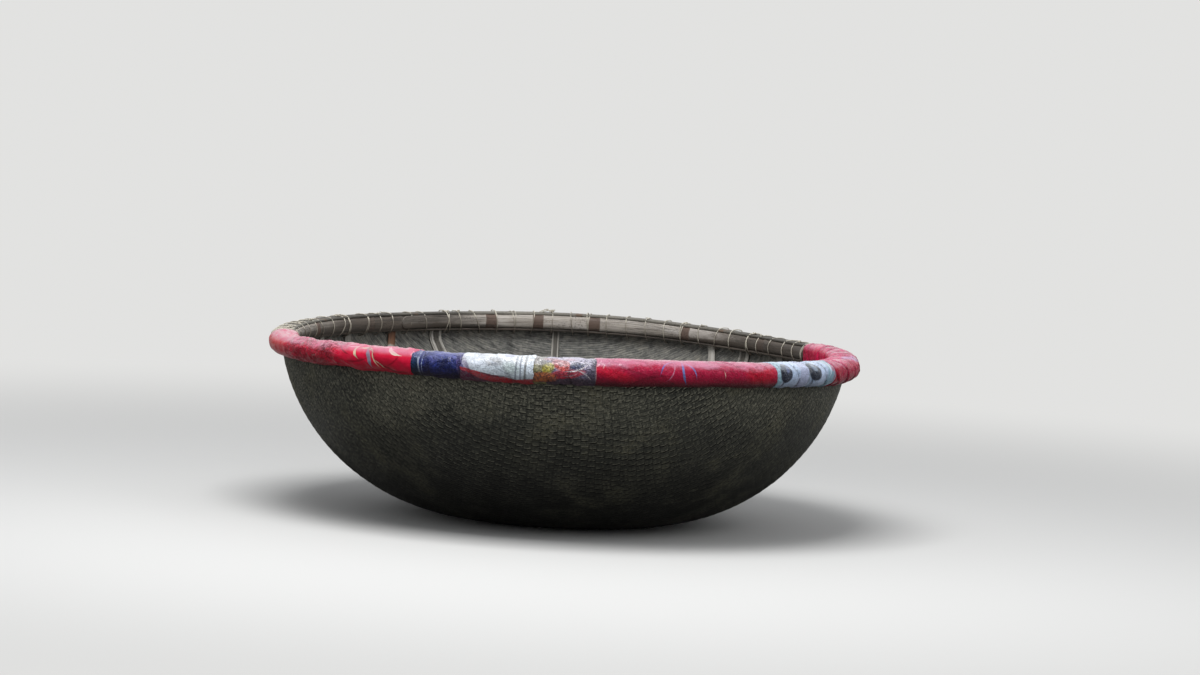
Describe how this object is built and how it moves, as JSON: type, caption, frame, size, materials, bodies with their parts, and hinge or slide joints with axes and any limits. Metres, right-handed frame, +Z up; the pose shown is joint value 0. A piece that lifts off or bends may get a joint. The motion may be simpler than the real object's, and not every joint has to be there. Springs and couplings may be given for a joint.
{
  "type": "round basket coracle, woven bamboo with a partly wrapped rim",
  "caption": "Round basket coracle: a tarred woven bamboo bowl with a lashed bamboo rim, partly wrapped in old banner strips, and bamboo ribs inside.",
  "frame": {"origin": "middle of the flat bottom, on the ground", "axes": "+Z up, +X to the right and +Y away from the viewer in the picture, whose side of the rim is the wrapped one"},
  "size_m": [1.9999, 1.9998, 0.618],
  "materials": {
    "tarred_mat": "matt tar and resin over woven bamboo",
    "hoop_bamboo": "weathered grey-brown",
    "rib_bamboo": "weathered, dry",
    "cord": "twisted nylon, dull",
    "wrap_magenta_end": "coated banner cloth, half gloss",
    "wrap_crimson_left": "coated banner cloth, half gloss",
    "wrap_navy": "coated banner cloth, half gloss",
    "wrap_white": "coated banner cloth, half gloss",
    "wrap_mixed": "coated banner cloth, half gloss",
    "wrap_crimson_front": "coated banner cloth, half gloss",
    "wrap_pale_blue": "coated banner cloth, half gloss"
  },
  "bodies": {
    "root": {"hull_shell": "tarred_mat", "outer_hoop_upper": "hoop_bamboo", "outer_hoop_lower": "hoop_bamboo", "inner_hoop": "hoop_bamboo", "inner_lath": "hoop_bamboo", "inner_packing": "hoop_bamboo", "rim_cap": "hoop_bamboo", "rim_lashings": "cord", "wrap_magenta_end": "wrap_magenta_end", "wrap_crimson_left": "wrap_crimson_left", "wrap_navy": "wrap_navy", "wrap_white": "wrap_white", "wrap_mixed": "wrap_mixed", "wrap_crimson_front": "wrap_crimson_front", "wrap_pale_blue": "wrap_pale_blue", "rib_fore_aft_1": "rib_bamboo", "rib_fore_aft_2": "rib_bamboo", "rib_fore_aft_3": "rib_bamboo", "rib_fore_aft_4": "rib_bamboo", "rib_fore_aft_5": "rib_bamboo", "rib_cross_1": "rib_bamboo", "rib_cross_2": "rib_bamboo", "rib_cross_3": "rib_bamboo", "rib_cross_4": "rib_bamboo", "rib_cross_5": "rib_bamboo"}
  },
  "joints": []
}
